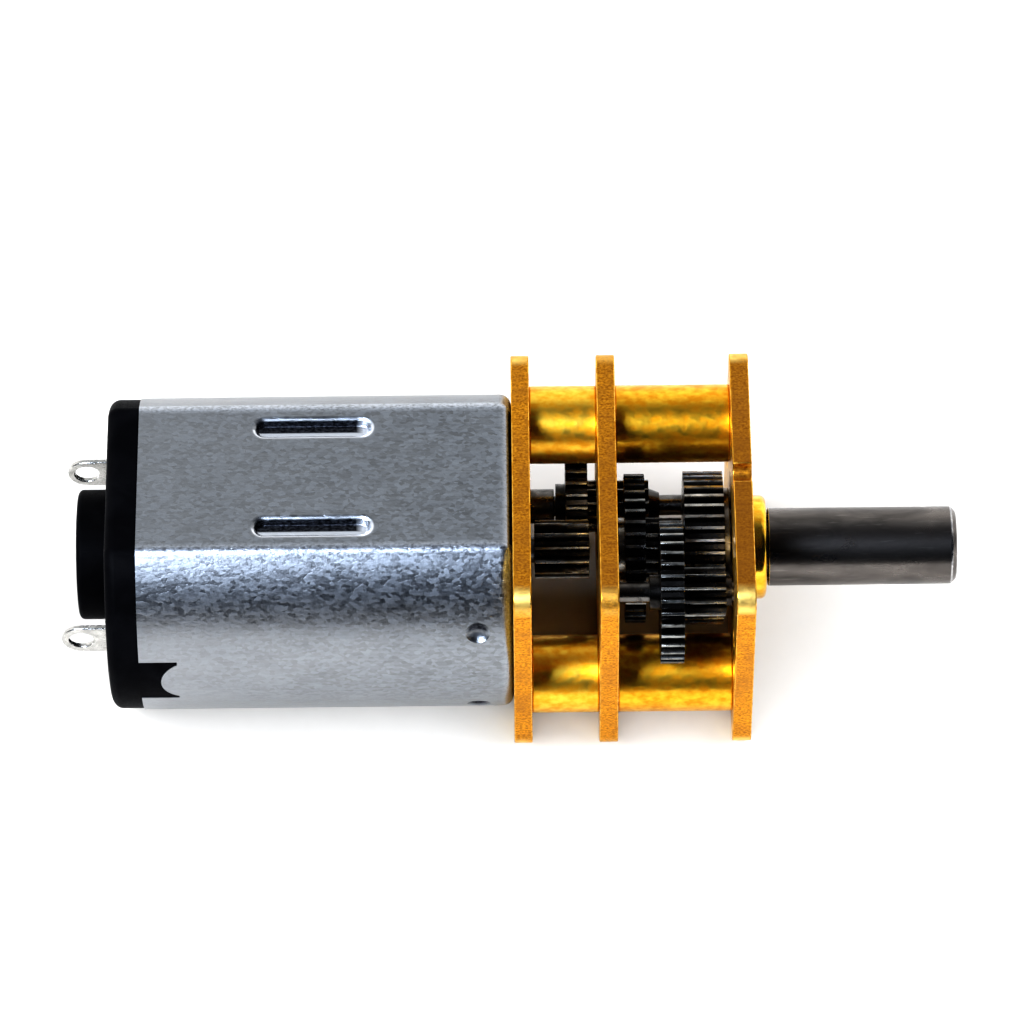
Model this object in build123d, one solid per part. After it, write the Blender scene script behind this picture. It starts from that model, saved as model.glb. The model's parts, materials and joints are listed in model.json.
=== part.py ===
from build123d import *
import os
from math import acos, asin, cos, degrees, pi, radians, sin, tan

# Miniature gearmotor: a flat-sided DC motor drives a four-stage spur gearbox held between
# three brass plates. Millimetres. +X runs along the output shaft, +Y is the 12 mm width, +Z the 10 mm height.
# The origin is on the shaft axis, in the front face of the front plate.

os.makedirs("parts", exist_ok=True)

# Overall section, shared by the plates and the motor
WIDTH = 12.0
HEIGHT = 10.0
FIT = 0.02  # running or assembly clearance on a radius

# Gearbox plates: (rear face, front face) along X
FRONT_PLATE = (-0.73, 0.0)
MIDDLE_PLATE = (-5.86, -5.14)
REAR_PLATE = (-9.14, -8.44)
PLATE_CORNER_R = 0.8
PLATE_NOTCH_R = 0.4

# Gear arbors lie on one line through the shaft axis, on opposite sides of it
CENTRES = 3.6
ARBOR_A_ANGLE = -27.3
ARBOR_B_ANGLE = ARBOR_A_ANGLE + 180
ARBOR_R = 0.4
ARBOR_SINK = 0.6

# Teeth, in the order that the drive passes through them
MOTOR_PINION_TEETH = 12
FIRST_GEAR_TEETH = 35
FIRST_PINION_TEETH = 11
SECOND_GEAR_TEETH = 37
SECOND_PINION_TEETH = 13
THIRD_GEAR_TEETH = 35
THIRD_PINION_TEETH = 10
OUTPUT_GEAR_TEETH = 38
PRESSURE_ANGLE = radians(20)
PINION_SHIFT = 0.35  # profile shift in modules: pinions grow by it, gears shrink by it
DEDENDUM = 1.25
BACKLASH = 0.03

# Where each toothed stretch lies along X
MOTOR_PINION_X = (-8.29, -6.19)
FIRST_GEAR_X = (-7.06, -6.21)
FIRST_PINION_X = (-7.06, -3.81)
SECOND_GEAR_X = (-4.82, -4.04)
SECOND_PINION_X = (-4.82, -2.62)
THIRD_GEAR_X = (-3.54, -2.65)
THIRD_PINION_X = (-3.54, -1.03)
OUTPUT_GEAR_X = (-2.54, -1.03)

# Plain stretches of the clusters, and the sleeve behind the first one
SPACER_R = 0.675
SPACER_FRONT = -7.50
FIRST_HUB_R = 0.875
FIRST_HUB_REAR = -7.44
FIRST_NOSE_FRONT = -3.39
NOSE_WALL = 0.1
PASSAGE_GAP = 0.2  # around the first pinion, where it passes the middle plate
SECOND_HUB_R = 1.2
SECOND_HUB_REAR = -5.06
THIRD_HUB_R = 0.68
THIRD_HUB_REAR = -3.94
THIRD_BOSS_FRONT = -0.80

# Posts and screws
POST_R = 1.5
POST_Y = 3.9
POST_Z = 2.8
SCREW_R = 0.5
SCREW_HEAD_R = 1.05
SCREW_HEAD_DEPTH = 0.5
SCREW_SLOT_HALF = 0.12
SCREW_SLOT_DEPTH = 0.22
SCREW_TIP_GAP = 0.1  # how far the long screws stop short of the motor
MOTOR_SCREW_Z = 3.4
MOTOR_SCREW_END = -10.24
MOUNTING_HOLE_Y = 4.5
MOUNTING_HOLE_R = 0.625  # M1.6 tapping size

# Output shaft
SHAFT_R = 1.5
SHAFT_END = 7.96
SHAFT_CHAMFER = 0.2
SHOULDER = 0.70  # where the free stretch starts; the flat runs from here to the end
GREASE_GROOVE_REAR = 0.12  # the groove runs from here to the shoulder
GREASE_GROOVE_R = 1.3
RELIEF = 0.03  # the stretch inside the bushing is turned down by this much
FLAT_DEPTH = 0.4
FLAT_ANGLE = -54.8  # which way the flat faces at rest
GEAR_SEAT_R = 1.1
JOURNAL_R = 0.6
JOURNAL_END = -5.84
BUSHING_R = 2.0
BUSHING_FRONT = 0.63
BUSHING_EDGE_R = 0.25
OUTPUT_WASHER_R = 2.3
OUTPUT_WASHER_GAP = 0.06

# Motor can
CAN_FRONT = REAR_PLATE[0]
CAN_REAR = -23.37
CAN_R = WIDTH / 2
CAN_HALF = HEIGHT / 2
CAN_WALL = 0.4
CAN_EDGE_R = 0.45
CAN_BOSS_R = 2.0
CAN_BOSS_FRONT = -8.59
SLOT_LENGTH = 4.5
SLOT_WIDTH = 0.8
SLOT_DEPTH = 0.28
SLOT_TAPER = 30
SLOT_RIM_R = 0.25
SLOT_FLOOR_R = 0.1
SLOT_X = -16.69
SLOT_Y = 2.3
DIMPLE_X = -10.49
DIMPLE_Z = 2.4
DIMPLE_R = 0.47
DIMPLE_DEPTH = 0.2
NOTCH_HALF = 1.2
NOTCH_LENGTH = 1.45
TONGUE_RISE = 0.65
TONGUE_HALF = 1.05

# End cap, terminals and brushes
CAP_REAR = -24.58
CAP_EDGE_R = 0.4
CAP_INSET = 0.05
SPIGOT_FRONT = -22.44
SPIGOT_WALL = 0.65
CAP_BOSS_R = 2.5
CAP_BOSS_REAR = -25.84
CAP_BOSS_EDGE_R = 0.2
TERMINAL_Y = 3.9
TERMINAL_THICK = 0.2
TERMINAL_WIDE = 1.5
TERMINAL_REAR = -26.41
TERMINAL_FRONT = -22.74
CAP_TAB_FRONT = -21.44
EYELET_R = 0.475
BRUSH_THICK = 0.08
BRUSH_WIDE = 0.7
BRUSH_FOOT_Z = -2.6
BRUSH_TIP = (-21.54, 1.0)
BRUSH_GAP = 0.04
BRUSH_TAB = 0.4

# Rotor
MOTOR_SHAFT_R = 0.5
MOTOR_SHAFT_X = (-25.54, -6.16)
MOTOR_SHAFT_CHAMFER = 0.1
BEARING_R = 1.2
FRONT_BEARING_X = (-9.94, -8.64)
REAR_BEARING_X = (-25.64, -24.44)
STACK_X = (-19.44, -12.44)
STACK_HUB_R = 1.3
POLE_HALF = 0.7
SHOE_R = (3.0, 3.8)
SHOE_HALF_ANGLE = 52
WINDING_RADIAL = (1.45, 2.5)
WINDING_HALF = 1.5
WINDING_OVERHANG = 0.7
COMMUTATOR_X = (-23.04, -20.34)
SEGMENT_X = (-22.64, -21.04)
SEGMENT_R = (0.75, 1.1)
SEGMENT_HALF_ANGLE = 55
POLES = 3
MAGNET_X = (-20.44, -11.44)
MAGNET_R = (4.1, 5.58)
MAGNET_HALF_ANGLE = 48
WASHER_X = (-10.24, -9.99)
WASHER_R = 0.95


def on_circle(radius, angle):
    """Y and Z of a point at an angle in degrees from +Y towards +Z."""
    return radius * cos(radians(angle)), radius * sin(radians(angle))


ARBOR_A = on_circle(CENTRES, ARBOR_A_ANGLE)
ARBOR_B = on_circle(CENTRES, ARBOR_B_ANGLE)
AXIS = (0.0, 0.0)
POSTS = [(POST_Y, POST_Z), (-POST_Y, -POST_Z)]
MOTOR_SCREWS = [(0.0, MOTOR_SCREW_Z), (0.0, -MOTOR_SCREW_Z)]
MOUNTING_HOLES = [(MOUNTING_HOLE_Y, 0.0), (-MOUNTING_HOLE_Y, 0.0)]


# Shared shapes


def facing_x(x, centre=AXIS):
    """A sketch plane that faces +X, with its local axes along +Y and +Z."""
    return Plane(origin=(x, *centre), x_dir=(0, 1, 0), z_dir=(1, 0, 0))


def prism(sketch, x_span, centre=AXIS):
    return extrude(facing_x(x_span[0], centre) * sketch, x_span[1] - x_span[0])


def rod(radius, x_span, centre=AXIS):
    return prism(Circle(radius), x_span, centre)


def ring(inner, outer, x_span, centre=AXIS):
    return prism(Circle(outer) - Circle(inner), x_span, centre)


def taper(radius_rear, radius_front, x_span, centre=AXIS):
    """A cone along +X between two radii."""
    length = x_span[1] - x_span[0]
    middle = (x_span[0] + length / 2, *centre)
    return Pos(*middle) * Rot(0, 90, 0) * Cone(radius_rear, radius_front, length)


def block(x_span, y_span, z_span):
    size = [span[1] - span[0] for span in (x_span, y_span, z_span)]
    middle = [(span[1] + span[0]) / 2 for span in (x_span, y_span, z_span)]
    return Pos(*middle) * Box(*size)


def sector(inner, outer, middle_angle, half_angle, x_span):
    """A ring segment: the part of a ring within half_angle of middle_angle."""
    corners = [AXIS]
    for side in (-1, 0, 1):
        corners.append(on_circle(3 * outer, middle_angle + side * half_angle))
    wedge = make_face(Polyline(*corners, close=True))
    return prism((Circle(outer) - Circle(inner)) & wedge, x_span)


def motor_section(radius, half_height):
    """A circle with its top and bottom cut flat."""
    return Circle(radius) & Rectangle(3 * radius, 2 * half_height)


def both_sides(shape):
    """The shape and its mirror image across the X-Z plane."""
    return [shape, mirror(shape, about=Plane.XZ)]


# Gears


def involute(angle):
    return tan(angle) - angle


def tooth_outline(teeth, module, shift, towards):
    """A spur gear's outline, with the middle of one tooth at the angle towards, in degrees."""
    pitch_r = module * teeth / 2
    base_r = pitch_r * cos(PRESSURE_ANGLE)
    tip_r = pitch_r + (1 + shift) * module
    root_r = pitch_r - (DEDENDUM - shift) * module
    thickness = module * (pi / 2 + 2 * shift * tan(PRESSURE_ANGLE)) - BACKLASH / 2
    base_half = thickness / (2 * pitch_r) + involute(PRESSURE_ANGLE)

    def flank(radius, middle, side):
        half = base_half - involute(acos(base_r / radius))
        return on_circle(radius, middle + side * degrees(half))

    def root(middle, side):
        return on_circle(root_r, middle + side * degrees(base_half))

    edges = []
    flank_r = [base_r, (base_r + tip_r) / 2, tip_r]
    for number in range(teeth):
        middle = towards + 360 / teeth * number
        rising = [flank(radius, middle, -1) for radius in flank_r]
        falling = [flank(radius, middle, 1) for radius in reversed(flank_r)]
        edges += [
            Line(root(middle, -1), rising[0]),
            ThreePointArc(*rising),
            Line(rising[-1], falling[0]),
            ThreePointArc(*falling),
            Line(falling[-1], root(middle, 1)),
            Line(root(middle, 1), root(middle + 360 / teeth, -1)),
        ]
    return make_face(edges)


def pair_module(pinion_teeth, gear_teeth):
    """The module that puts a meshing pair at the common centre distance."""
    return 2 * CENTRES / (pinion_teeth + gear_teeth)


def toothed_pinion(teeth, mate_teeth, mate_angle, x_span, centre):
    """A pinion with one tooth pointing at its mate's axis."""
    module = pair_module(teeth, mate_teeth)
    return prism(tooth_outline(teeth, module, PINION_SHIFT, mate_angle), x_span, centre)


def toothed_gear(teeth, mate_teeth, mate_angle, x_span, centre):
    """A gear with a tooth space facing its pinion's axis."""
    module = pair_module(mate_teeth, teeth)
    towards = mate_angle + 180 / teeth
    return prism(tooth_outline(teeth, module, -PINION_SHIFT, towards), x_span, centre)


def core_radius(pinion_teeth, gear_teeth):
    """The radius just under a pinion's teeth, where its gear is pressed on."""
    module = pair_module(pinion_teeth, gear_teeth)
    return module * (pinion_teeth / 2 - DEDENDUM + PINION_SHIFT) - FIT


def pinion_tip_radius(pinion_teeth, gear_teeth):
    return pair_module(pinion_teeth, gear_teeth) * (pinion_teeth / 2 + 1 + PINION_SHIFT)


# Gearbox frame


def countersink(centre, face_x):
    rear = face_x - SCREW_HEAD_DEPTH
    return taper(SCREW_R, SCREW_HEAD_R, (rear, face_x), centre)


def plate_blank(x_span):
    return prism(RectangleRounded(WIDTH, HEIGHT, PLATE_CORNER_R), x_span)


def front_plate():
    plate = plate_blank(FRONT_PLATE) - rod(BUSHING_R, FRONT_PLATE)
    for centre in POSTS:
        plate -= rod(SCREW_R + FIT, FRONT_PLATE, centre)
        plate -= countersink(centre, FRONT_PLATE[1])
    for centre in MOUNTING_HOLES:
        plate -= rod(MOUNTING_HOLE_R, FRONT_PLATE, centre)
    for centre in (ARBOR_A, ARBOR_B):
        plate -= rod(ARBOR_R, (FRONT_PLATE[0], FRONT_PLATE[0] + ARBOR_SINK), centre)
    return plate - rod(PLATE_NOTCH_R, FRONT_PLATE, (0.0, HEIGHT / 2))


def middle_plate():
    plate = plate_blank(MIDDLE_PLATE) - rod(JOURNAL_R + FIT, MIDDLE_PLATE)
    for centre in POSTS:
        plate -= rod(SCREW_R + FIT, MIDDLE_PLATE, centre)
    passage_r = pinion_tip_radius(FIRST_PINION_TEETH, SECOND_GEAR_TEETH) + PASSAGE_GAP
    plate -= rod(passage_r, MIDDLE_PLATE, ARBOR_A)
    return plate - rod(ARBOR_R, (MIDDLE_PLATE[1] - ARBOR_SINK, MIDDLE_PLATE[1]), ARBOR_B)


def rear_plate():
    plate = plate_blank(REAR_PLATE) - rod(CAN_BOSS_R + FIT, REAR_PLATE)
    plate -= rod(ARBOR_R, (REAR_PLATE[1] - ARBOR_SINK, REAR_PLATE[1]), ARBOR_A)
    for centre in POSTS:
        plate -= rod(SCREW_R + FIT, REAR_PLATE, centre)
    for centre in MOTOR_SCREWS:
        plate -= rod(SCREW_R + FIT, REAR_PLATE, centre)
        plate -= countersink(centre, REAR_PLATE[1])
    return plate


def post(x_span, centre):
    return ring(SCREW_R + FIT, POST_R, x_span, centre)


def countersunk_screw(face_x, end_x, centre):
    """A slotted countersunk screw with its head flush in a face."""
    neck = face_x - SCREW_HEAD_DEPTH
    screw = rod(SCREW_R, (end_x, neck), centre) + countersink(centre, face_x)
    slot_y = (centre[0] - SCREW_SLOT_HALF, centre[0] + SCREW_SLOT_HALF)
    slot_z = (centre[1] - SCREW_HEAD_R, centre[1] + SCREW_HEAD_R)
    return screw - block((face_x - SCREW_SLOT_DEPTH, face_x), slot_y, slot_z)


def assembly_screws():
    end = REAR_PLATE[0] + SCREW_TIP_GAP
    return Compound([countersunk_screw(FRONT_PLATE[1], end, centre) for centre in POSTS])


def motor_screws():
    screws = [countersunk_screw(REAR_PLATE[1], MOTOR_SCREW_END, centre) for centre in MOTOR_SCREWS]
    return Compound(screws)


def arbor_pin_a():
    return rod(ARBOR_R, (REAR_PLATE[1] - ARBOR_SINK, FRONT_PLATE[0] + ARBOR_SINK), ARBOR_A)


def arbor_pin_b():
    return rod(ARBOR_R, (MIDDLE_PLATE[1] - ARBOR_SINK, FRONT_PLATE[0] + ARBOR_SINK), ARBOR_B)


def arbor_spacer():
    """The sleeve that holds the first cluster off the rear plate."""
    return ring(ARBOR_R + FIT, SPACER_R, (REAR_PLATE[1], SPACER_FRONT), ARBOR_A)


def output_bushing():
    bushing = ring(SHAFT_R + FIT, BUSHING_R, (FRONT_PLATE[0], BUSHING_FRONT))
    rim = bushing.edges().group_by(Axis.X)[-1].sort_by(SortBy.RADIUS)[-1]
    return fillet(rim, BUSHING_EDGE_R)


# Gear clusters


def motor_pinion():
    teeth = toothed_pinion(
        MOTOR_PINION_TEETH, FIRST_GEAR_TEETH, ARBOR_A_ANGLE, MOTOR_PINION_X, AXIS
    )
    return teeth - rod(MOTOR_SHAFT_R, MOTOR_PINION_X)


def first_gear():
    wheel = toothed_gear(
        FIRST_GEAR_TEETH, MOTOR_PINION_TEETH, ARBOR_A_ANGLE + 180, FIRST_GEAR_X, ARBOR_A
    )
    return wheel - rod(core_radius(FIRST_PINION_TEETH, SECOND_GEAR_TEETH), FIRST_GEAR_X, ARBOR_A)


def first_pinion():
    """The long pinion, with a hub behind its gear and a tapered nose."""
    core = core_radius(FIRST_PINION_TEETH, SECOND_GEAR_TEETH)
    teeth_x = (FIRST_GEAR_X[1], FIRST_PINION_X[1])
    nose_x = (FIRST_PINION_X[1], FIRST_NOSE_FRONT)
    hub_x = (FIRST_HUB_REAR, FIRST_GEAR_X[0])
    pinion = toothed_pinion(
        FIRST_PINION_TEETH, SECOND_GEAR_TEETH, ARBOR_A_ANGLE + 180, teeth_x, ARBOR_A
    )
    pinion += rod(core, FIRST_GEAR_X, ARBOR_A)
    pinion += rod(FIRST_HUB_R, hub_x, ARBOR_A)
    pinion += taper(core, ARBOR_R + NOSE_WALL, nose_x, ARBOR_A)
    return pinion - rod(ARBOR_R + FIT, (hub_x[0], nose_x[1]), ARBOR_A)


def second_gear():
    wheel = toothed_gear(SECOND_GEAR_TEETH, FIRST_PINION_TEETH, ARBOR_A_ANGLE, SECOND_GEAR_X, AXIS)
    return wheel - rod(core_radius(SECOND_PINION_TEETH, THIRD_GEAR_TEETH), SECOND_GEAR_X)


def second_pinion():
    """The pinion of the cluster that turns freely on the output shaft's journal."""
    core = core_radius(SECOND_PINION_TEETH, THIRD_GEAR_TEETH)
    teeth_x = (SECOND_GEAR_X[1], SECOND_PINION_X[1])
    hub_x = (SECOND_HUB_REAR, SECOND_GEAR_X[0])
    pinion = toothed_pinion(
        SECOND_PINION_TEETH, THIRD_GEAR_TEETH, ARBOR_B_ANGLE, teeth_x, AXIS
    )
    pinion += rod(core, SECOND_GEAR_X)
    pinion += rod(SECOND_HUB_R, hub_x)
    return pinion - rod(JOURNAL_R + FIT, (hub_x[0], teeth_x[1]))


def third_gear():
    wheel = toothed_gear(
        THIRD_GEAR_TEETH, SECOND_PINION_TEETH, ARBOR_B_ANGLE + 180, THIRD_GEAR_X, ARBOR_B
    )
    return wheel - rod(core_radius(THIRD_PINION_TEETH, OUTPUT_GEAR_TEETH), THIRD_GEAR_X, ARBOR_B)


def third_pinion():
    core = core_radius(THIRD_PINION_TEETH, OUTPUT_GEAR_TEETH)
    teeth_x = (THIRD_GEAR_X[1], THIRD_PINION_X[1])
    hub_x = (THIRD_HUB_REAR, THIRD_GEAR_X[0])
    boss_x = (THIRD_PINION_X[1], THIRD_BOSS_FRONT)
    pinion = toothed_pinion(
        THIRD_PINION_TEETH, OUTPUT_GEAR_TEETH, ARBOR_B_ANGLE + 180, teeth_x, ARBOR_B
    )
    pinion += rod(core, THIRD_GEAR_X, ARBOR_B)
    pinion += rod(THIRD_HUB_R, hub_x, ARBOR_B)
    pinion += rod(core, boss_x, ARBOR_B)
    return pinion - rod(ARBOR_R + FIT, (hub_x[0], boss_x[1]), ARBOR_B)


def output_gear():
    wheel = toothed_gear(OUTPUT_GEAR_TEETH, THIRD_PINION_TEETH, ARBOR_B_ANGLE, OUTPUT_GEAR_X, AXIS)
    return wheel - rod(GEAR_SEAT_R, OUTPUT_GEAR_X)


def output_shaft():
    shaft = rod(SHAFT_R, (SHOULDER, SHAFT_END))
    shaft = chamfer(shaft.edges().group_by(Axis.X)[-1], SHAFT_CHAMFER)
    flat = block((SHOULDER, SHAFT_END), (SHAFT_R - FLAT_DEPTH, 2 * SHAFT_R), (-SHAFT_R, SHAFT_R))
    shaft -= Rot(FLAT_ANGLE, 0, 0) * flat
    shaft += rod(GREASE_GROOVE_R, (GREASE_GROOVE_REAR, SHOULDER))
    shaft += rod(SHAFT_R - RELIEF, (OUTPUT_GEAR_X[1], GREASE_GROOVE_REAR))
    shaft += rod(GEAR_SEAT_R, OUTPUT_GEAR_X)
    return shaft + rod(JOURNAL_R, (JOURNAL_END, OUTPUT_GEAR_X[0]))


def output_washer():
    span = (OUTPUT_GEAR_X[1], FRONT_PLATE[0] - OUTPUT_WASHER_GAP)
    return ring(SHAFT_R + FIT / 2, OUTPUT_WASHER_R, span)


# Motor


def pressed_slot(face_z):
    """One sloping-walled stadium of the pair pressed into each flat, going inwards from a face."""
    plane = Plane(origin=(SLOT_X, SLOT_Y, face_z), x_dir=(1, 0, 0), z_dir=(0, 0, -1))
    return extrude(plane * SlotOverall(SLOT_LENGTH, SLOT_WIDTH), SLOT_DEPTH, taper=SLOT_TAPER)


def slot_edges(shell, height):
    """The pressed slots' edges at a height above and below the axis."""

    def belongs(edge):
        middle = edge.center()
        within_length = abs(middle.X - SLOT_X) < SLOT_LENGTH / 2 + FIT
        within_width = abs(middle.Y) < SLOT_Y + SLOT_WIDTH / 2 + FIT
        return within_length and within_width and abs(abs(middle.Z) - height) < FIT / 2

    return shell.edges().filter_by(belongs)


def on_both_flats(shape):
    """The shape at +Y +Z and its images in the other three quarters."""
    top = both_sides(shape)
    return top + [mirror(half, about=Plane.XY) for half in top]


def lock_notch(inset):
    """Outline, in X and Z, of the can's rear notch: a slot whose end wall is a rounded tongue."""
    tongue_r = (TONGUE_RISE**2 + TONGUE_HALF**2) / (2 * TONGUE_RISE)
    end = CAN_REAR + NOTCH_LENGTH - inset
    slot = Pos((CAN_REAR + end) / 2, 0) * Rectangle(end - CAN_REAR, 2 * (NOTCH_HALF - inset))
    return slot - Pos(end - TONGUE_RISE + tongue_r, 0) * Circle(tongue_r)


def through_side(sketch, y_span):
    """An X-Z outline carried along Y over a span."""
    plane = Plane(origin=(0, y_span[1], 0), x_dir=(1, 0, 0), z_dir=(0, -1, 0))
    return extrude(plane * sketch, y_span[1] - y_span[0])


def dimple(side):
    """The ball whose cap is one dimple in the can's round side."""
    ball_r = (DIMPLE_R**2 + DIMPLE_DEPTH**2) / (2 * DIMPLE_DEPTH)
    angle = degrees(asin(DIMPLE_Z / CAN_R)) * side
    return Rot(angle, 0, 0) * Pos(DIMPLE_X, CAN_R + ball_r - DIMPLE_DEPTH, 0) * Sphere(ball_r)


def motor_can():
    shell = prism(motor_section(CAN_R, CAN_HALF), (CAN_REAR, CAN_FRONT))
    shell = fillet(shell.edges().filter_by(Axis.X), CAN_EDGE_R)
    shell = fillet(shell.edges().group_by(Axis.X)[-1], CAN_EDGE_R)
    inside = motor_section(CAN_R - CAN_WALL, CAN_HALF - CAN_WALL)
    shell -= prism(inside, (CAN_REAR, CAN_FRONT - CAN_WALL))
    shell += rod(CAN_BOSS_R, (CAN_FRONT, CAN_BOSS_FRONT))
    for rib in on_both_flats(pressed_slot(CAN_HALF - CAN_WALL)):
        shell += rib
    for recess in on_both_flats(pressed_slot(CAN_HALF)):
        shell -= recess
    shell = fillet(slot_edges(shell, CAN_HALF), SLOT_RIM_R)
    shell = fillet(slot_edges(shell, CAN_HALF - SLOT_DEPTH), SLOT_FLOOR_R)
    for side in (-1, 1):
        for mark in both_sides(dimple(side)):
            shell -= mark
    for notch in both_sides(through_side(lock_notch(0), (CAN_R - 1, CAN_R + 1))):
        shell -= notch
    front_wall = (CAN_FRONT - CAN_WALL, CAN_FRONT)
    for centre in MOTOR_SCREWS:
        shell -= rod(SCREW_R + FIT, front_wall, centre)
    return shell - rod(BEARING_R, (front_wall[0], CAN_BOSS_FRONT))


def bearing(x_span):
    return ring(MOTOR_SHAFT_R + FIT, BEARING_R, x_span)


def magnet(middle_angle):
    return sector(*MAGNET_R, middle_angle, MAGNET_HALF_ANGLE, MAGNET_X)


def end_cap():
    cap = prism(motor_section(CAN_R - CAP_INSET, CAN_HALF - CAP_INSET), (CAP_REAR, CAN_REAR))
    cap = fillet(cap.edges().filter_by(Axis.X), CAN_EDGE_R)
    cap = fillet(cap.edges().group_by(Axis.X)[0], CAP_EDGE_R)
    boss = rod(CAP_BOSS_R, (CAP_BOSS_REAR, CAP_REAR))
    cap += fillet(boss.edges().group_by(Axis.X)[0], CAP_BOSS_EDGE_R)
    outer = CAN_WALL + CAP_INSET
    inner = outer + SPIGOT_WALL
    spigot = motor_section(CAN_R - outer, CAN_HALF - outer)
    spigot -= motor_section(CAN_R - inner, CAN_HALF - inner)
    cap += prism(spigot, (CAN_REAR, SPIGOT_FRONT))
    tab_envelope = rod(CAN_R - FIT, (CAN_REAR, CAP_TAB_FRONT))
    for tab in both_sides(through_side(lock_notch(FIT), (CAN_R - inner, CAN_R + 1))):
        cap += tab & tab_envelope
    half_slot = TERMINAL_WIDE / 2 + FIT
    for side in (-1, 1):
        slot_y = sorted(side * (TERMINAL_Y + edge * (TERMINAL_THICK / 2 + FIT)) for edge in (-1, 1))
        cap -= block((CAP_REAR, CAN_REAR), slot_y, (-half_slot, half_slot))
    return cap - rod(BEARING_R, (CAP_BOSS_REAR, CAN_REAR))


def terminal(side):
    """A flat solder tag with a round end and an eyelet."""
    eye_x = TERMINAL_REAR + TERMINAL_WIDE / 2
    length = TERMINAL_FRONT - eye_x
    tag = Pos(eye_x + length / 2, 0) * Rectangle(length, TERMINAL_WIDE)
    tag += Pos(eye_x, 0) * Circle(TERMINAL_WIDE / 2)
    tag -= Pos(eye_x, 0) * Circle(EYELET_R)
    half = TERMINAL_THICK / 2
    return through_side(tag, (side * TERMINAL_Y - half, side * TERMINAL_Y + half))


def brush(side):
    """A spring leaf: an angled foot against the terminal and a finger beside the commutator."""
    foot_x = (TERMINAL_FRONT, TERMINAL_FRONT + BRUSH_THICK)
    finger_y = SEGMENT_R[1] + BRUSH_GAP
    tip_x, tip_z = BRUSH_TIP
    tab_y = (TERMINAL_Y - BRUSH_TAB, TERMINAL_Y + TERMINAL_THICK / 2)
    leaf = block(foot_x, tab_y, (BRUSH_FOOT_Z, TERMINAL_WIDE / 2))
    leaf += block(foot_x, (finger_y, TERMINAL_Y), (BRUSH_FOOT_Z, BRUSH_FOOT_Z + BRUSH_WIDE))
    leaf += block((foot_x[0], tip_x), (finger_y, finger_y + BRUSH_THICK), (BRUSH_FOOT_Z, tip_z))
    return leaf if side > 0 else mirror(leaf, about=Plane.XZ)


# Rotor


def motor_shaft():
    shaft = rod(MOTOR_SHAFT_R, MOTOR_SHAFT_X)
    return chamfer(shaft.edges().group_by(Axis.X)[-1], MOTOR_SHAFT_CHAMFER)


def pole_angle(number):
    return 90 + 360 / POLES * number


def lamination_stack():
    """The three-pole core: hub, stems and pole shoes."""
    stack = rod(STACK_HUB_R, STACK_X)
    for number in range(POLES):
        stem = block(STACK_X, (0, SHOE_R[0] + 0.2), (-POLE_HALF, POLE_HALF))
        stack += Rot(pole_angle(number), 0, 0) * stem
        stack += sector(*SHOE_R, pole_angle(number), SHOE_HALF_ANGLE, STACK_X)
    return stack - rod(MOTOR_SHAFT_R, STACK_X)


def winding(number):
    """The copper coil around one pole's stem."""
    long_x = (STACK_X[0] - WINDING_OVERHANG, STACK_X[1] + WINDING_OVERHANG)
    coil = block(long_x, WINDING_RADIAL, (-WINDING_HALF, WINDING_HALF))
    coil = fillet(coil.edges().filter_by(Axis.Y), WINDING_OVERHANG)
    hole = POLE_HALF + FIT
    coil -= block((STACK_X[0] - FIT, STACK_X[1] + FIT), WINDING_RADIAL, (-hole, hole))
    return Rot(pole_angle(number), 0, 0) * coil


def commutator_hub():
    return ring(MOTOR_SHAFT_R, SEGMENT_R[0], COMMUTATOR_X)


def commutator_segment(number):
    middle = pole_angle(number) + 180 / POLES
    return sector(*SEGMENT_R, middle, SEGMENT_HALF_ANGLE, SEGMENT_X)


def thrust_washer():
    return ring(MOTOR_SHAFT_R, WASHER_R, WASHER_X)


PARTS = {
    "front_plate": front_plate(),
    "middle_plate": middle_plate(),
    "rear_plate": rear_plate(),
    "assembly_screws": assembly_screws(),
    "motor_screws": motor_screws(),
    "arbor_pin_a": arbor_pin_a(),
    "arbor_pin_b": arbor_pin_b(),
    "arbor_spacer": arbor_spacer(),
    "output_bushing": output_bushing(),
    "motor_pinion": motor_pinion(),
    "first_gear": first_gear(),
    "first_pinion": first_pinion(),
    "second_gear": second_gear(),
    "second_pinion": second_pinion(),
    "third_gear": third_gear(),
    "third_pinion": third_pinion(),
    "output_gear": output_gear(),
    "output_shaft": output_shaft(),
    "output_washer": output_washer(),
    "motor_can": motor_can(),
    "front_bearing": bearing(FRONT_BEARING_X),
    "rear_bearing": bearing(REAR_BEARING_X),
    "end_cap": end_cap(),
    "motor_shaft": motor_shaft(),
    "lamination_stack": lamination_stack(),
    "commutator_hub": commutator_hub(),
    "thrust_washer": thrust_washer(),
}
for name, centre in zip(("left", "right"), POSTS):
    PARTS[f"front_post_{name}"] = post((MIDDLE_PLATE[1], FRONT_PLATE[0]), centre)
    PARTS[f"rear_post_{name}"] = post((REAR_PLATE[1], MIDDLE_PLATE[0]), centre)
for name, side in (("left", 1), ("right", -1)):
    PARTS[f"magnet_{name}"] = magnet(0 if side > 0 else 180)
    PARTS[f"terminal_{name}"] = terminal(side)
    PARTS[f"brush_{name}"] = brush(side)
for number in range(POLES):
    PARTS[f"winding_{number + 1}"] = winding(number)
    PARTS[f"commutator_segment_{number + 1}"] = commutator_segment(number)

for name, shape in PARTS.items():
    export_step(shape, f"parts/{name}.step")
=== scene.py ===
import json
from math import cos, pi, radians, sin

import bmesh
import bpy
from mathutils import Matrix, Vector

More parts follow.
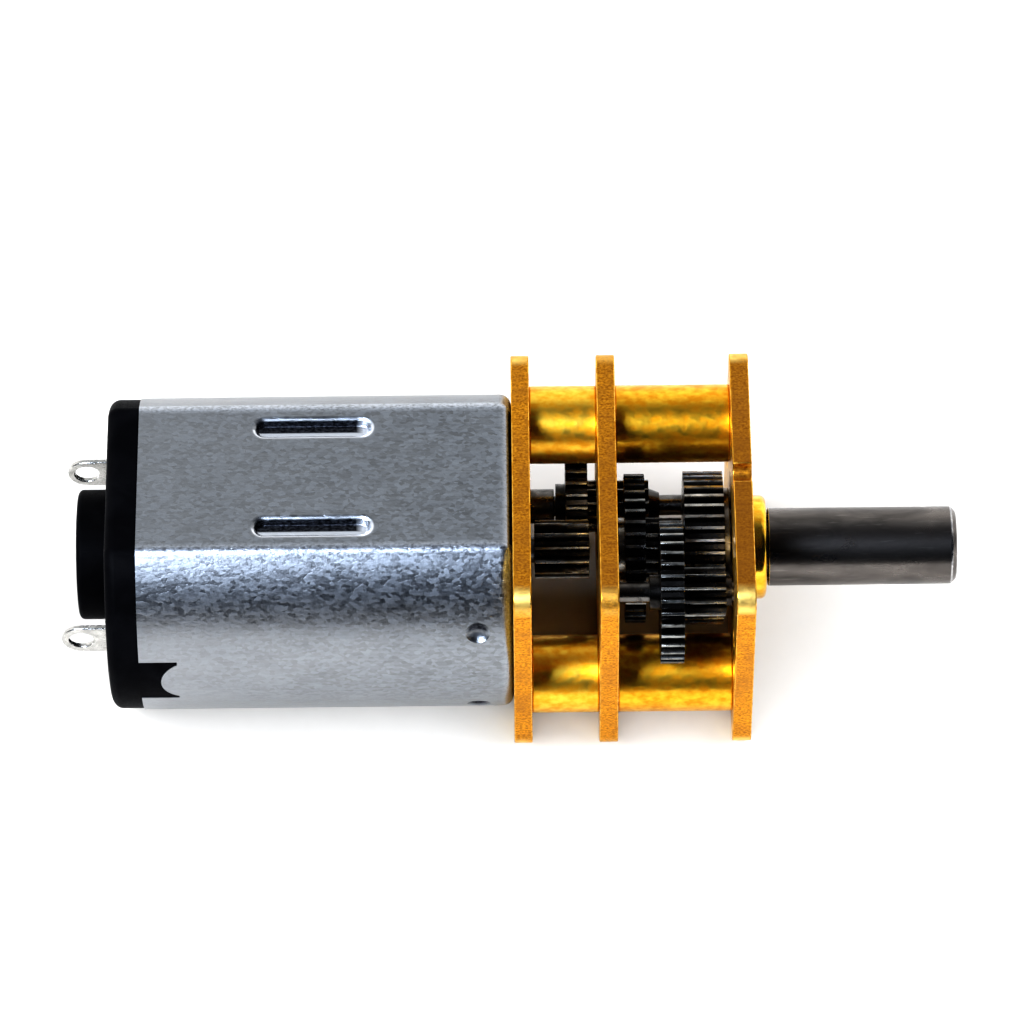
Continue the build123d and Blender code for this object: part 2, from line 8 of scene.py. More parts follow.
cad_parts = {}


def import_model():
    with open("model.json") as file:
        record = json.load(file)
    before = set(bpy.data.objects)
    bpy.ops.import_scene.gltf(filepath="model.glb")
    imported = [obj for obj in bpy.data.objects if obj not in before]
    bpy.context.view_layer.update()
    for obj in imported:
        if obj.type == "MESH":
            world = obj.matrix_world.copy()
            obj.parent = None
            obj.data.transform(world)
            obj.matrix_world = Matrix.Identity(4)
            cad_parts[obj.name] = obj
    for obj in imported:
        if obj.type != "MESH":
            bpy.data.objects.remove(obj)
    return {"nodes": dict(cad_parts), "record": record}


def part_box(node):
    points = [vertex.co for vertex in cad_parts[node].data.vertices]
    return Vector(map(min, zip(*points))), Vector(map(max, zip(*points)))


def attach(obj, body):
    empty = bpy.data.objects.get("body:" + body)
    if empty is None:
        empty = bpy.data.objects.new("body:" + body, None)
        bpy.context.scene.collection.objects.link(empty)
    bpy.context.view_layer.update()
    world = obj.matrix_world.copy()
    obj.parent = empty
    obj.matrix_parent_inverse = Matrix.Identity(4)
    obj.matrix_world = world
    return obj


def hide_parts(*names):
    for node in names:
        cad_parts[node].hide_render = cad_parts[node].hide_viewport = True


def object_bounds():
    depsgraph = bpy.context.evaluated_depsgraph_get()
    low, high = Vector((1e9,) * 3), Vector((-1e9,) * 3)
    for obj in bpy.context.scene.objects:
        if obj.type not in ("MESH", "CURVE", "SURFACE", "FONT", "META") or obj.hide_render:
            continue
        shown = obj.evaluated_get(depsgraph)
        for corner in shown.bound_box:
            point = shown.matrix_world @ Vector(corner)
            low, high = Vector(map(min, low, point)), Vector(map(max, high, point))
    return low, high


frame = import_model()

# Looks for a miniature gearmotor. Metres, in the CAD frame: +X along the output shaft, +Z up.
cad_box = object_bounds()
MM = 0.001
MICRON = 0.001 * MM
X, Y, Z = range(3)
ALONG_X, ALONG_Y, ALONG_Z = (1, 0, 0), (0, 1, 0), (0, 0, 1)

slot_of = {part["node"]: part["material_slot"] for part in frame["record"]["subparts"]}
body_of = {
    node: body
    for body, nodes in frame["record"]["behaviour"]["bodies"].items()
    for node in nodes
}


def middle_of(node):
    low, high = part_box(node)
    return [(a + b) / 2 for a, b in zip(low, high)]


# Material building


class Finish:
    """A material being built. Its procedural detail is laid out in millimetres of the CAD frame."""

    def __init__(self, name, metallic, **sockets):
        self.material = bpy.data.materials.new(name)
        self.material.use_nodes = True
        self.tree = self.material.node_tree
        self.shader = self.tree.nodes["Principled BSDF"]
        self.shader.inputs["Metallic"].default_value = metallic
        for socket, value in sockets.items():
            self.shader.inputs[socket.replace("_", " ")].default_value = value
        metres = self.add("TexCoord").outputs["Object"]
        self.place = self.vector("SCALE", metres, Scale=1 / MM).outputs["Vector"]
        self.relief = None

    def add(self, kind, inputs=None, **settings):
        """A shader node, with its inputs linked or set."""
        made = self.tree.nodes.new("ShaderNode" + kind)
        for key, value in settings.items():
            setattr(made, key, value)
        for key, value in (inputs or {}).items():
            if isinstance(value, bpy.types.NodeSocket):
                self.tree.links.new(value, made.inputs[key])
            else:
                made.inputs[key].default_value = value
        return made

    def vector(self, operation, *values, **named):
        return self.add("VectorMath", {**dict(enumerate(values)), **named}, operation=operation)

    def math(self, operation, *values):
        return self.add("Math", dict(enumerate(values)), operation=operation).outputs["Value"]

    def both(self, first, second):
        """The share where two masks meet."""
        return self.math("MULTIPLY", first, second)

    def weighed(self, first, weight, second, other_weight):
        """Two values, each times its weight, added up."""
        parts = self.math("MULTIPLY", first, weight), self.math("MULTIPLY", second, other_weight)
        return self.math("ADD", *parts)

    def remap(self, value, low, high, to_low=0.0, to_high=1.0):
        spans = {"From Min": low, "From Max": high, "To Min": to_low, "To Max": to_high}
        return self.add("MapRange", {"Value": value, **spans}).outputs["Result"]

    def mix(self, share, first, second):
        """A colour between two, each a colour or a socket."""
        colors = [c if isinstance(c, bpy.types.NodeSocket) else (*c, 1) for c in (first, second)]
        return self.add("Mix", {0: share, 6: colors[0], 7: colors[1]}, data_type="RGBA").outputs[2]

    def toned(self, value, first, second, low=0.35, high=0.65):
        """A colour that goes from one to another while a value rises from low to high."""
        return self.mix(self.remap(value, low, high), first, second)

    def stretched(self, stretch):
        shrink = tuple(1 / length for length in stretch)
        return self.vector("MULTIPLY", self.place, shrink).outputs["Vector"]

    def noise(self, per_mm, detail=3.0, stretch=(1, 1, 1), wander=0.0):
        """Noise around 0.5, in features per millimetre, drawn out along the axes by stretch."""
        inputs = {"Vector": self.stretched(stretch), "Scale": per_mm, "Detail": detail}
        return self.add("TexNoise", {**inputs, "Distortion": wander}).outputs["Fac"]

    def grains(self, per_mm, stretch=(1, 1, 1)):
        """A random value for each cell of a crystal-like pattern."""
        inputs = {"Vector": self.stretched(stretch), "Scale": per_mm}
        color = self.add("TexVoronoi", inputs).outputs["Color"]
        return self.add("SeparateColor", {0: color}).outputs[0]

    def pits(self, per_mm):
        """Distance to the nearest of many scattered points, in cell widths."""
        return self.add("TexVoronoi", {"Vector": self.place, "Scale": per_mm}).outputs["Distance"]

    def along(self, direction, origin=(0, 0, 0)):
        """Distance along a direction from a point, in millimetres."""
        offset = self.vector("SUBTRACT", self.place, origin).outputs["Vector"]
        return self.vector("DOT_PRODUCT", offset, direction).outputs["Value"]

    def away(self, direction, origin=(0, 0, 0)):
        """Distance along a direction from a point, either way, in millimetres."""
        return self.math("ABSOLUTE", self.along(direction, origin))

    def radius(self, centre):
        """Distance in millimetres from an axis along X through a Y and Z."""
        flat = self.vector("MULTIPLY", self.place, (0, 1, 1)).outputs["Vector"]
        return self.vector("DISTANCE", flat, (0, *centre)).outputs["Value"]

    def tilt(self, axis):
        """How far the surface faces along an axis of the object, from -1 to 1."""
        normal = self.add("TexCoord").outputs["Normal"]
        return self.add("SeparateXYZ", {0: normal}).outputs[axis]

    def facing(self, axis):
        """How squarely the surface faces along an axis either way, from 0 to 1."""
        return self.math("ABSOLUTE", self.tilt(axis))

    def emboss(self, height, microns):
        """Relief of a height in microns, on top of the relief so far."""
        inputs = {"Height": height, "Distance": microns * MICRON, "Strength": 1.0}
        if self.relief:
            inputs["Normal"] = self.relief
        self.relief = self.add("Bump", inputs).outputs["Normal"]

    def done(self, color, tone, first, second, low=0.3, high=0.7):
        """The material, rough from first to second while a tone goes from low to high."""
        return self.wired(color, self.remap(tone, low, high, first, second))

    def wired(self, color, roughness):
        """The material, with a colour and a roughness that are worked out already."""
        self.tree.links.new(color, self.shader.inputs["Base Color"])
        self.tree.links.new(roughness, self.shader.inputs["Roughness"])
        if self.relief:
            self.tree.links.new(self.relief, self.shader.inputs["Normal"])
        return self.material


# Where the marks sit, in millimetres

CAN_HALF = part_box("motor_can")[1][2] / MM
CAN_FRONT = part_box("rear_plate")[0][0] / MM
FLAT_EDGE = 3.1  # just short of the folds that end the can's flats
SLOT_END, SLOT_Y = -14.44, 2.3  # X of the slots' front ends, and their distance from the middle
DIMPLE_X, DIMPLE_Z = -10.49, 2.4
PLATE_HALF_Y, PLATE_HALF_Z = (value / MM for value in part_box("front_plate")[1][1:])
CORNER = 0.9  # how far a plate's painted corner glint reaches in from its sides
CORNER_FADE = 0.3
MIDDLE_PLATE_X = -5.5
TIP_BAND = (0.06, 0.02)  # the rub on a tooth starts and is full at these depths under its tip
WIRE_R = 0.06
SHEET = 0.35  # thickness of one lamination


# Metals outside


def slot_highlight(made, pressed):
    """Where the -Y half of a slot and its front end get a painted highlight, paler than the flat.
    """
    side = made.math("SIGN", made.along(ALONG_Y))
    across = made.both(side, made.math("SUBTRACT", made.away(ALONG_Y), SLOT_Y))
    past_end = made.math("SUBTRACT", made.along(ALONG_X), SLOT_END)
    near_half = made.remap(across, -0.03, -0.09)
    front_end = made.remap(past_end, -0.62, -0.34)
    in_width = made.remap(made.math("ABSOLUTE", across), 0.55, 0.45)
    in_length = made.remap(past_end, 0.3, 0.2)
    painted_bright = made.both(pressed, made.math("MAXIMUM", near_half, front_end))
    return made.both(painted_bright, made.both(in_width, in_length))


def dimple_shade(made, height):
    """Where the upper part of a dimple is darkened, as painted shade."""
    beside = made.math("POWER", made.along(ALONG_X, (DIMPLE_X, 0, 0)), 2.0)
    above = made.math("POWER", made.math("SUBTRACT", height, DIMPLE_Z), 2.0)
    from_dimple = made.math("SQRT", made.math("ADD", beside, above))
    # Painted shade: only the dimple's upper part is darkened.
    upper_part = made.remap(height, DIMPLE_Z - 0.14, DIMPLE_Z)
    return made.both(made.remap(from_dimple, 0.44, 0.30), upper_part)


def can_steel():
    """Drawn, plated steel sheet: rolling lines, a spangled plating, painted shade in the pressings,
    painted highlights on the slots' rims, and painted light toward the rear.
    """
    made = Finish("can_steel", 1.0)
    lines = made.noise(11, 4, stretch=(16, 1, 1))
    blotches = made.noise(0.9, 4, stretch=(1.6, 1, 1))
    spangle = made.noise(11, 4, stretch=(1.5, 1, 1))
    crystals = made.grains(8, stretch=(1.5, 1, 1))
    tone = made.weighed(lines, 0.5, blotches, 0.5)
    color = made.toned(tone, (0.186, 0.194, 0.204), (0.240, 0.249, 0.260), 0.38, 0.62)
    color = made.mix(made.remap(crystals, 0.0, 1.0, 0.0, 0.32), color, (0.50, 0.545, 0.61))
    # Painted light: the can is paler toward its rear end, the side the key light comes from.
    haze_and_painted_light = made.remap(made.along(ALONG_X), CAN_FRONT - 2, CAN_FRONT - 14, 0.0, 0.5)
    color = made.mix(haze_and_painted_light, color, (0.335, 0.345, 0.36))

    from_middle = made.away(ALONG_Y)
    height = made.away(ALONG_Z)
    depth = made.math("SUBTRACT", CAN_HALF, height)
    past_flat = made.remap(from_middle, FLAT_EDGE - 0.1, FLAT_EDGE + 0.1)
    on_fold = made.both(past_flat, made.remap(depth, 0.14, 0.08))
    at_front = made.remap(made.along(ALONG_X), CAN_FRONT - 0.5, CAN_FRONT - 0.15, 0.0, 0.6)
    brightening = made.both(made.math("MAXIMUM", on_fold, at_front), made.remap(spangle, 0.3, 0.6))
    color = made.mix(brightening, color, (0.52, 0.55, 0.60))

    on_flat = made.math("LESS_THAN", from_middle, FLAT_EDGE)
    pressed = made.both(on_flat, made.remap(depth, 0.004, 0.02))
    shaded = made.math("ADD", depth, made.remap(made.tilt(Y), 0.0, -0.3, 0.0, 0.09))
    # Painted shade: the pressings' walls and floors are darkened, the more on walls facing -Y.
    slot_shade = made.both(pressed, made.remap(shaded, 0.13, 0.19))
    shade_tone = made.toned(spangle, (0.014, 0.015, 0.019), (0.075, 0.08, 0.095), 0.4, 0.7)
    color = made.mix(made.math("MAXIMUM", slot_shade, dimple_shade(made, height)), color, shade_tone)
    # Painted highlight on the slots' -Y halves and front ends.
    color = made.mix(slot_highlight(made, pressed), color, (0.74, 0.77, 0.82))

    made.emboss(spangle, 6.5)
    made.emboss(lines, 1.6)
    made.emboss(crystals, 2)
    return made.done(color, made.weighed(spangle, 0.5, crystals, 0.5), 0.28, 0.42, 0.2, 0.8)


def plate_brass():
    """Rolled brass sheet: faces lapped with fine scratches, and a grainy sheared rim."""
    made = Finish("plate_brass", 1.0)
    on_face = made.remap(made.facing(X), 0.4, 0.7)
    patches = made.noise(1.1, 4, wander=0.5)
    grain = made.noise(13, 3, stretch=(1.4, 1, 1))
    shear = made.noise(7, 3, stretch=(5, 1, 1))
    scratches = made.noise(9, 4, stretch=(1, 14, 1), wander=0.2)
    rough_rim = made.weighed(grain, 0.75, shear, 0.25)
    rim = made.toned(rough_rim, (0.37, 0.133, 0.010), (0.82, 0.385, 0.032), 0.36, 0.60)
    face = made.toned(scratches, (0.70, 0.37, 0.045), (0.88, 0.53, 0.10), 0.36, 0.62)
    color = made.mix(on_face, rim, face)
    tarnish = made.remap(patches, 0.44, 0.68, 0.0, 0.55)
    color = made.mix(tarnish, color, (0.42, 0.18, 0.03))

    # Painted shade: the plates' top faces are darker toward the front plate and toward -Y.
    toward_front = made.remap(made.along(ALONG_X), -8.5, -0.3, 0.0, 0.40)
    toward_side = made.remap(made.along(ALONG_Y), 3.5, -2.5, 0.0, 0.30)
    painted_top_shade = made.both(made.facing(Z), made.math("ADD", toward_front, toward_side))
    color = made.mix(painted_top_shade, color, (0.26, 0.105, 0.02))

    # Painted highlight: a bright glint on each plate's corners, weaker near the middle plate.
    side, top = PLATE_HALF_Y - CORNER, PLATE_HALF_Z - CORNER
    past_side = made.remap(made.away(ALONG_Y), side, side + CORNER_FADE)
    past_top = made.remap(made.away(ALONG_Z), top, top + CORNER_FADE)
    at_corner = made.both(past_side, past_top)
    from_middle_plate = made.away(ALONG_X, (MIDDLE_PLATE_X, 0, 0))
    brightening = made.both(at_corner, made.remap(patches, 0.35, 0.6, 0.35, 1.0))
    brightening = made.both(brightening, made.remap(from_middle_plate, 0.8, 3.5, 0.35, 1.0))
    color = made.mix(brightening, color, (0.96, 0.68, 0.21))

    made.emboss(made.mix(on_face, rough_rim, scratches), 6)
    made.emboss(patches, 12)
    roughness = made.remap(grain, 0.3, 0.7, 0.40, 0.56)
    polish = made.weighed(on_face, 0.14, brightening, 0.02)
    return made.wired(color, made.math("SUBTRACT", roughness, polish))


def plate_edge():
    """The plates' sharp edges and corners, rubbed bright."""
    made = Finish("plate_edge", 1.0)
    brightening = made.noise(3.5, 4)
    color = made.toned(brightening, (0.58, 0.26, 0.02), (0.86, 0.50, 0.09), 0.38, 0.62)
    made.emboss(brightening, 4)
    return made.done(color, brightening, 0.40, 0.24)


def turned_brass(name, deep, pale, mottling, dull, bright):
    """Bright bar turned on a lathe: rings from the tool and a mottled lustre.

    Mottling is in microns; dull and bright are the roughest and smoothest parts of it.
    """
    made = Finish(name, 1.0)
    rings = made.noise(22, 3, stretch=(1, 70, 70))
    mottle = made.noise(3.6, 2, stretch=(1.3, 1, 1))
    handling = made.noise(0.8, 3)
    color = made.toned(mottle, deep, pale, 0.34, 0.66)
    color = made.mix(made.remap(handling, 0.54, 0.74, 0.0, 0.35), color, (0.60, 0.27, 0.02))
    made.emboss(mottle, mottling)
    made.emboss(rings, 1.2)
    return made.done(color, mottle, dull, bright)


def gear_steel(node, tip_r, centre, shine):
    """Cut, oiled steel. The teeth are rubbed bright at their tips; the flanks stay dark."""
    made = Finish(node + "_steel", 1.0)
    brightening = made.noise(5, 3, stretch=(2, 1, 1))
    cut_lines = made.noise(30, 3, stretch=(14, 1, 1))
    oil = made.noise(1.6, 3, wander=0.4)
    body = made.toned(oil, (0.018, 0.017, 0.016), (0.07, 0.066, 0.062))
    tip = made.toned(brightening, [0.4 * part for part in shine], shine)
    at_tip = made.remap(made.radius(centre), *(tip_r - below for below in TIP_BAND))
    made.emboss(cut_lines, 2)
    made.emboss(oil, 8)
    return made.done(made.mix(at_tip, body, tip), oil, 0.34, 0.22)


def plain_steel():
    """Pins, screws, spacers and washers: turned steel with an oily film."""
    made = Finish("plain_steel", 1.0)
    rings = made.noise(26, 3, stretch=(1, 60, 60))
    film = made.noise(1.8, 4, wander=0.5)
    color = made.toned(film, (0.06, 0.058, 0.055), (0.17, 0.163, 0.155))
    made.emboss(rings, 2)
    return made.done(color, film, 0.36, 0.22)


def shaft_steel():
    """Ground and hardened steel: hair-fine rings, faint smears and a dark polish."""
    made = Finish("shaft_steel", 1.0)
    rings = made.noise(34, 4, stretch=(1, 90, 90))
    smears = made.noise(1.1, 4, stretch=(2.2, 1, 1), wander=0.6)
    hairlines = made.noise(8, 4, stretch=(9, 1, 1))
    color = made.toned(smears, (0.090, 0.083, 0.078), (0.170, 0.155, 0.144))
    color = made.mix(made.remap(hairlines, 0.60, 0.72, 0.0, 0.25), color, (0.34, 0.32, 0.30))
    made.emboss(rings, 1.2)
    made.emboss(smears, 5)
    return made.done(color, smears, 0.36, 0.25)


def shaft_edge():
    """The shaft's rubbed edges, paler than its sides."""
    made = Finish("shaft_edge", 1.0)
    brightening = made.noise(5, 3)
    color = made.toned(brightening, (0.30, 0.30, 0.31), (0.58, 0.57, 0.56))
    return made.done(color, brightening, 0.32, 0.2)


def tinned():
    """Tin-dipped brass: bright and slightly puddled."""
    made = Finish("tinned", 1.0)
    puddle = made.noise(3.4, 3, wander=0.5)
    haze_and_painted_light = made.noise(10, 3)
    color = made.toned(puddle, (0.42, 0.415, 0.395), (0.64, 0.63, 0.60))
    made.emboss(puddle, 5)
    return made.done(color, haze_and_painted_light, 0.16, 0.32)


# Plastic, and the materials inside the motor


def black_plastic():
    """Moulded nylon with a fine grain."""
    made = Finish("black_plastic", 0.0, Specular_IOR_Level=0.02)
    grain = made.noise(16, 3)
    flow = made.noise(0.7, 3, wander=0.8)
    color = made.toned(flow, (0.0012, 0.0013, 0.0020), (0.0026, 0.0028, 0.0038))
    made.emboss(grain, 2.5)
    return made.done(color, grain, 0.42, 0.60)


def sintered_bronze():
    """Pressed bronze powder, porous and oily."""
    made = Finish("sintered_bronze", 1.0)
    pores = made.remap(made.pits(9), 0.0, 0.35)
    color = made.mix(pores, (0.13, 0.07, 0.035), (0.58, 0.36, 0.17))
    made.emboss(pores, 6)
    return made.done(color, pores, 0.6, 0.38, 0.0, 1.0)


def ferrite():
    """The magnets' dull, grainy ceramic."""
    made = Finish("ferrite", 0.0)
    grain = made.noise(14, 4)
    color = made.toned(grain, (0.020, 0.020, 0.022), (0.052, 0.052, 0.056))
    made.emboss(grain, 6)
    return made.done(color, grain, 0.66, 0.5)


def spring_bronze():
    """Rolled spring strip, with lines along its length."""
    made = Finish("spring_bronze", 1.0)
    lines = made.noise(18, 3, stretch=(8, 1, 8))
    color = made.toned(lines, (0.64, 0.38, 0.15), (0.84, 0.57, 0.27))
    made.emboss(lines, 2)
    return made.done(color, lines, 0.34, 0.22)


def enamelled_copper(number, direction):
    """A coil's turns, one above another along its pole."""
    made = Finish(f"coil_copper_{number}", 1.0)
    turn = made.math("PINGPONG", made.along(direction), WIRE_R)
    round_back = made.math("SQRT", made.remap(turn, 0.0, WIRE_R))
    tone = made.noise(6, 3)
    color = made.toned(tone, (0.60, 0.20, 0.06), (0.80, 0.34, 0.13))
    color = made.mix(round_back, (0.10, 0.03, 0.01), color)
    made.emboss(round_back, 40)
    return made.done(color, tone, 0.30, 0.2)


def segment_copper():
    """The commutator's copper, polished in rings by the brushes."""
    made = Finish("segment_copper", 1.0)
    rings = made.noise(20, 3, stretch=(1, 40, 40))
    color = made.toned(rings, (0.48, 0.20, 0.09), (0.85, 0.46, 0.27), 0.36, 0.64)
    made.emboss(rings, 3)
    return made.done(color, rings, 0.36, 0.2)


def laminated_steel():
    """The rotor's stack: thin sheets with dark joints between them."""
    made = Finish("laminated_steel", 1.0)
    joint = made.remap(made.math("PINGPONG", made.along(ALONG_X), SHEET / 2), 0.0, SHEET / 8)
    scale = made.noise(7, 3)
    color = made.toned(scale, (0.24, 0.24, 0.25), (0.40, 0.40, 0.41))
    color = made.mix(joint, (0.05, 0.045, 0.04), color)
    made.emboss(joint, 15)
    return made.done(color, scale, 0.48, 0.34)


# Meshes

SEAM = 0.0005 * MM  # points closer than this are one point
FLATNESS = radians(0.4)
SHARP_ANGLE = radians(32)


def cleaned_mesh(node):
    """A CAD node's mesh with its seams welded and its flat faces joined."""
    mesh = bpy.data.meshes.new(node + "_mesh")
    work = bmesh.new()
    work.from_mesh(frame["nodes"][node].data)
    bmesh.ops.remove_doubles(work, verts=work.verts, dist=SEAM)
    bmesh.ops.dissolve_limit(work, angle_limit=FLATNESS, verts=work.verts, edges=work.edges)
    work.to_mesh(mesh)
    work.free()
    return mesh


def finished(node, material, edge_material=None, *, bevel, segments=3):
    """A CAD node with its edges rounded, by a width in millimetres, standing for it on its body."""
    piece = bpy.data.objects.new(node + "_piece", cleaned_mesh(node))
    bpy.context.scene.collection.objects.link(piece)
    piece.data.materials.append(material)
    piece.data.materials.append(edge_material or material)
    rounding = piece.modifiers.new("rounding", "BEVEL")
    rounding.width = bevel * MM
    rounding.segments = segments
    rounding.limit_method = "ANGLE"
    rounding.angle_limit = SHARP_ANGLE
    rounding.material = 1
    rounding.miter_outer = "MITER_ARC"
    weights = piece.modifiers.new("weights", "WEIGHTED_NORMAL")
    weights.keep_sharp = True
    piece.data.shade_smooth()
    piece.data.set_sharp_from_angle(angle=SHARP_ANGLE)
    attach(piece, body_of[node])
    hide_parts(node)


def dressed(node, material):
    """A CAD node that stays as it is, in a better material."""
    for slot in frame["nodes"][node].material_slots:
        slot.material = material


# Pieces

YELLOW_BRASS = ((0.84, 0.41, 0.028), (0.94, 0.61, 0.08))
ORANGE_BRASS = ((0.76, 0.33, 0.016), (0.94, 0.55, 0.05))
WORN_TIP, OILY_TIP = (0.66, 0.63, 0.57), (0.38, 0.385, 0.37)


def gearbox_frame():
    sheet, sheet_edge, steel = plate_brass(), plate_edge(), plain_steel()
    bar_of = {
        "rear": turned_brass("rear_post_brass", *YELLOW_BRASS, 7, 0.42, 0.30),
        "front": turned_brass("front_post_brass", *ORANGE_BRASS, 8, 0.40, 0.28),
    }
    ring = turned_brass("bushing_brass", *YELLOW_BRASS, 3, 0.22, 0.14)
    for node in ("front_plate", "middle_plate", "rear_plate"):
        finished(node, sheet, sheet_edge, bevel=0.05)
    for stage in ("front", "rear"):
        for side in ("left", "right"):
            finished(f"{stage}_post_{side}", bar_of[stage], bevel=0.06)
    finished("output_bushing", ring, bevel=0.05)
    for node in ("assembly_screws", "motor_screws", "arbor_pin_a", "arbor_pin_b"):
        finished(node, steel, bevel=0.03)
    for node in ("arbor_spacer", "output_washer"):
        finished(node, steel, bevel=0.04)


def gear_train():
    """Every toothed node, each with its own tips and axis, and the shaft they drive."""
    for node in slot_of:
        if node.endswith(("_gear", "_pinion")):
            low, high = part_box(node)
            tip_r = (high[2] - low[2]) / 2 / MM
            centre = [value / MM for value in middle_of(node)[1:]]
            shine = WORN_TIP if node == "output_gear" else OILY_TIP
            finished(node, gear_steel(node, tip_r, centre, shine), bevel=0.012, segments=2)
    finished("output_shaft", shaft_steel(), shaft_edge(), bevel=0.05)


def motor_outside():
    dressed("motor_can", can_steel())
    dressed("end_cap", black_plastic())
    tin = tinned()
    for side in ("left", "right"):
        finished(f"terminal_{side}", tin, bevel=0.05)


def motor_inside():
    """The motor's inside. Its shaft, hub and washer keep the plain materials of the CAD file."""
    cad_steel, cad_plastic = (bpy.data.materials[name] for name in ("shaft_steel", "black_plastic"))
    bronze, magnet, leaf, segment = sintered_bronze(), ferrite(), spring_bronze(), segment_copper()
    for end in ("front", "rear"):
        finished(f"{end}_bearing", bronze, bevel=0.06)
    for side in ("left", "right"):
        finished(f"magnet_{side}", magnet, bevel=0.1)
        finished(f"brush_{side}", leaf, bevel=0.02, segments=2)
    for number in (1, 2, 3):
        _, y, z = middle_of(f"winding_{number}")
        pole = Vector((0, y, z)).normalized()
        finished(f"winding_{number}", enamelled_copper(number, pole), bevel=0.12)
        finished(f"commutator_segment_{number}", segment, bevel=0.03)
    finished("lamination_stack", laminated_steel(), bevel=0.04)
    finished("motor_shaft", cad_steel, bevel=0.03)
    for node in ("commutator_hub", "thrust_washer"):
        finished(node, cad_plastic, bevel=0.03)


# Camera and floor

VIEW_ELEVATION = radians(54.8)
VIEW_ROLL = radians(0.64)
VIEW_DISTANCE = 0.250
PIXELS_PER_MM = 25.9
IMAGE_SIDE = 1024
SENSOR = 36.0
NEAR, FAR = 0.01, 10
AIM = Vector((-9.14, 1.19, 0.84)) * MM
FLOOR_HALF = 1.0


def camera():
    """A long lens above the motor's -Y side, rolled a little, as the object is seen."""
    back = Vector((0, -cos(VIEW_ELEVATION), sin(VIEW_ELEVATION)))
    up = Vector((0, sin(VIEW_ELEVATION), cos(VIEW_ELEVATION)))
    right = Vector((1, 0, 0))
    turn = Matrix.Rotation(-VIEW_ROLL, 3, back)
    axes = Matrix((turn @ right, turn @ up, back)).transposed()
    eye = bpy.data.objects.new("camera", bpy.data.cameras.new("camera"))
    eye.matrix_world = Matrix.Translation(AIM + back * VIEW_DISTANCE) @ axes.to_4x4()
    eye.data.sensor_width = SENSOR
    eye.data.lens = SENSOR * VIEW_DISTANCE / (IMAGE_SIDE / PIXELS_PER_MM * MM)
    eye.data.clip_start, eye.data.clip_end = NEAR, FAR
    bpy.context.scene.collection.objects.link(eye)
    bpy.context.scene.camera = eye


def floor():
    """Pale grey paper under the object, which the lights bring up to white."""
    mesh = bpy.data.meshes.new("floor")
    z = cad_box[0][2]
    corners = [(x * FLOOR_HALF, y * FLOOR_HALF, z) for x, y in ((-1, -1), (1, -1), (1, 1), (-1, 1))]
    mesh.from_pydata(corners, [], [(0, 1, 2, 3)])
    ground = bpy.data.objects.new("floor", mesh)
    paper = Finish("paper", 0.0)
    fibre = paper.noise(1.5, 4)
    color = paper.mix(fibre, (0.49, 0.49, 0.49), (0.52, 0.52, 0.52))
    ground.data.materials.append(paper.done(color, fibre, 0.7, 0.9, 0, 1))
    bpy.context.scene.collection.objects.link(ground)


# Light

KEY = {
    "azimuth": -44,
    "elevation": 51,
    "distance": 0.16,
    "width": 0.058,
    "height": 0.058,
    "radiance": 32.0,
    "color": (0.85, 0.97, 1.16),
}
WASH_DISTANCE = 0.20
# Name, azimuth, elevation, width, height and radiance
WASHES = (
    ("left_wash", -90, 38, 0.30, 0.10, 8.6),
    ("right_wash", 90, 38, 0.30, 0.10, 8.6),
    ("front_wash", 0, 30, 0.25, 0.06, 12.0),
)
# Colours by the sine of the elevation: the ends first, then the stops between
FRONT_SKY = [
    (0.0, (0.012, 0.016, 0.024)),
    (1.0, (0.08, 0.08, 0.09)),
    (0.30, (0.012, 0.018, 0.030)),
    (0.75, (0.006, 0.007, 0.010)),
]
REAR_SKY = [
    (0.0, (1.30, 1.30, 1.30)),
    (1.0, (0.10, 0.10, 0.11)),
    (0.45, (1.05, 1.05, 1.05)),
    (0.62, (0.80, 0.80, 0.80)),
    (0.82, (0.66, 0.69, 0.715)),
    (0.93, (0.20, 0.20, 0.21)),
]
REAR_SKY_FROM = 0.35  # the rear sky is full where a direction's Y reaches this


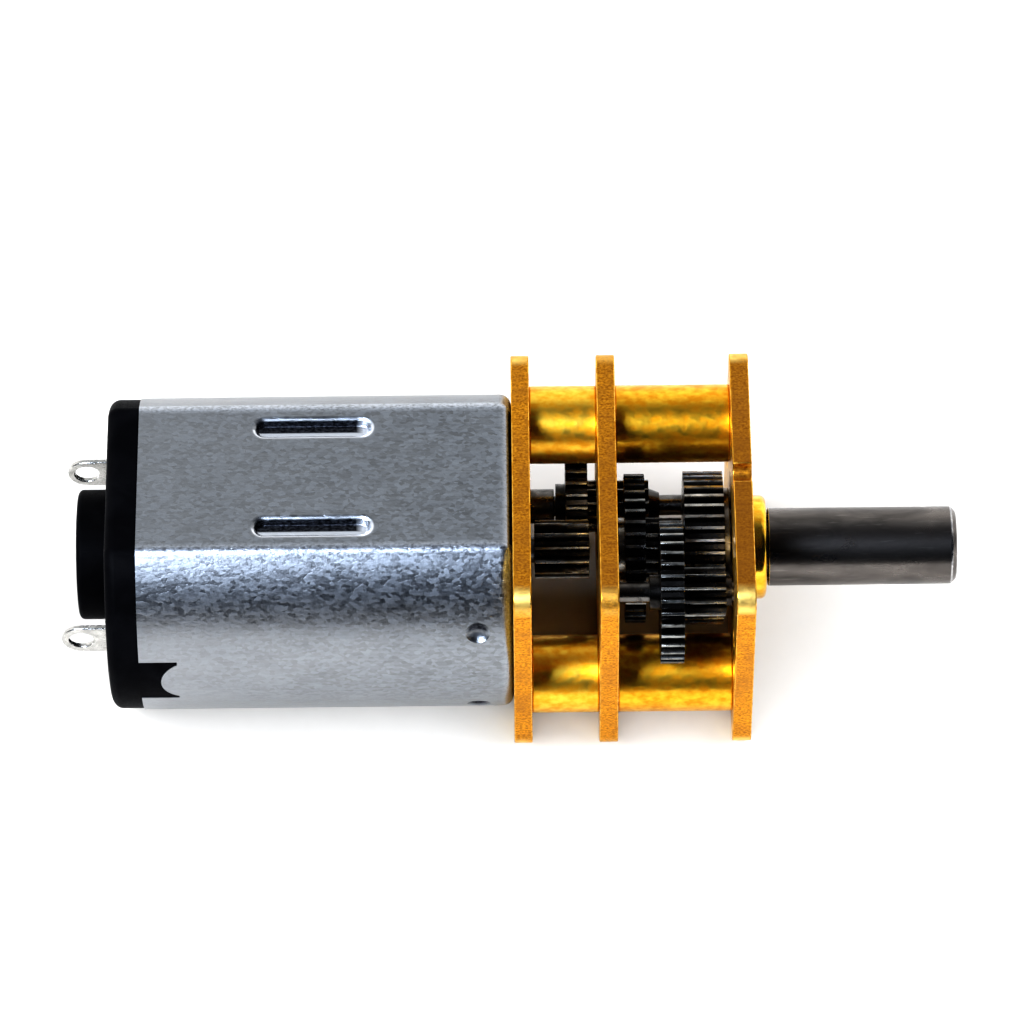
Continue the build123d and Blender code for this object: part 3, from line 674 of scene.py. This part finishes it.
def softbox(name, azimuth, elevation, distance, width, height, radiance, color=(1, 1, 1)):
    """A rectangular light aimed at the object from a direction in degrees.

    Azimuth 0 is the camera's side. The radiance is what a mirror would show of it.
    """
    lamp = bpy.data.lights.new(name, "AREA")
    lamp.shape = "RECTANGLE"
    lamp.size = width
    lamp.size_y = height
    lamp.energy = radiance * width * height * pi
    lamp.color = color
    box = bpy.data.objects.new(name, lamp)
    turn, rise = radians(azimuth), radians(elevation)
    away = Vector((sin(turn) * cos(rise), -cos(turn) * cos(rise), sin(rise)))
    facing = away.to_track_quat("Z", "Y").to_matrix().to_4x4()
    box.matrix_world = Matrix.Translation(AIM + away * distance) @ facing
    bpy.context.scene.collection.objects.link(box)
    return box


def sky_shade(tree, height, stops):
    """A sky's colour by the sine of the elevation."""
    ramp = tree.nodes.new("ShaderNodeValToRGB")
    tree.links.new(height, ramp.inputs[0])
    elements = ramp.color_ramp.elements
    for number, (position, color) in enumerate(stops):
        stop = elements[number] if number < 2 else elements.new(position)
        stop.position, stop.color = position, (*color, 1)
    return ramp.outputs["Color"]


def world():
    """A dim studio: near black above and in front, with a pale sweep rising behind the object.

    It shows in reflections, and casts no diffuse light.
    """
    sky = bpy.data.worlds.new("studio")
    bpy.context.scene.world = sky
    sky.cycles_visibility.diffuse = False
    sky.use_nodes = True
    tree = sky.node_tree
    direction = tree.nodes.new("ShaderNodeTexCoord").outputs["Generated"]
    parts = tree.nodes.new("ShaderNodeSeparateXYZ")
    tree.links.new(direction, parts.inputs[0])
    behind = tree.nodes.new("ShaderNodeMapRange")
    tree.links.new(parts.outputs[Y], behind.inputs["Value"])
    behind.inputs["From Max"].default_value = REAR_SKY_FROM
    blend = tree.nodes.new("ShaderNodeMix")
    blend.data_type = "RGBA"
    tree.links.new(behind.outputs["Result"], blend.inputs[0])
    for socket, stops in ((6, FRONT_SKY), (7, REAR_SKY)):
        tree.links.new(sky_shade(tree, parts.outputs[Z], stops), blend.inputs[socket])
    tree.links.new(blend.outputs[2], tree.nodes["Background"].inputs["Color"])


def stage():
    camera()
    floor()
    world()
    softbox("key", **KEY).visible_diffuse = False
    for name, azimuth, elevation, *size_and_radiance in WASHES:
        wash = softbox(name, azimuth, elevation, WASH_DISTANCE, *size_and_radiance)
        wash.visible_glossy = False
    settings = bpy.context.scene.view_settings
    settings.view_transform = "Standard"
    settings.look = "High Contrast"


gearbox_frame()
gear_train()
motor_outside()
motor_inside()
stage()
